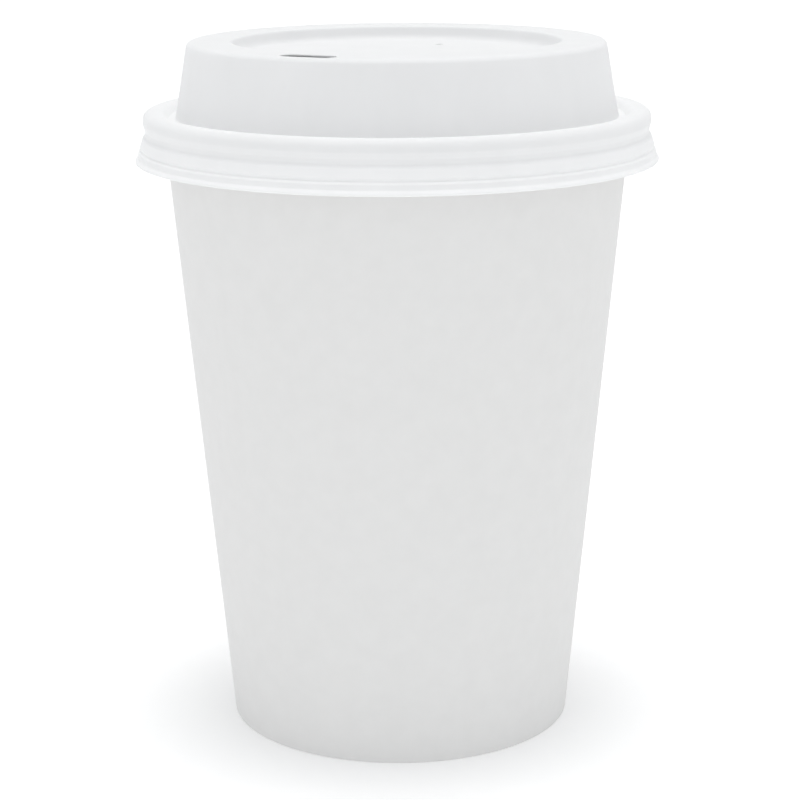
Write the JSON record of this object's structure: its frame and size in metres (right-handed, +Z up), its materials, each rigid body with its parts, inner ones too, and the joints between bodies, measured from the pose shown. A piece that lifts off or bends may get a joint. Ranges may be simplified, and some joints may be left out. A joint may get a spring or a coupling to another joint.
{
  "type": "paper coffee cup",
  "caption": "Tapered paper coffee cup with rolled rim, folded foot and glued side seam, closed by a press-on plastic lid with a raised dome, sip hole and vent.",
  "frame": {"origin": "centre of the foot ring, on the surface that the cup stands on", "axes": "+Z up along the cup's axis; the sip hole faces -Y and the side seam is at +Y"},
  "size_m": [0.0948, 0.0948, 0.1263],
  "materials": {
    "wall_paper": "smooth matt white coated paperboard",
    "base_paper": "smooth matt white coated paperboard",
    "lid_plastic": "satin white formed sheet, slightly translucent"
  },
  "bodies": {
    "cup": {"cup_wall": "wall_paper", "cup_base": "base_paper"},
    "lid": {"lid": "lid_plastic"}
  },
  "joints": [
    {"name": "lid_lift", "type": "slide", "parent": "cup", "child": "lid", "axis": [0, 0, 1], "range_m": [0, 0.06]}
  ]
}
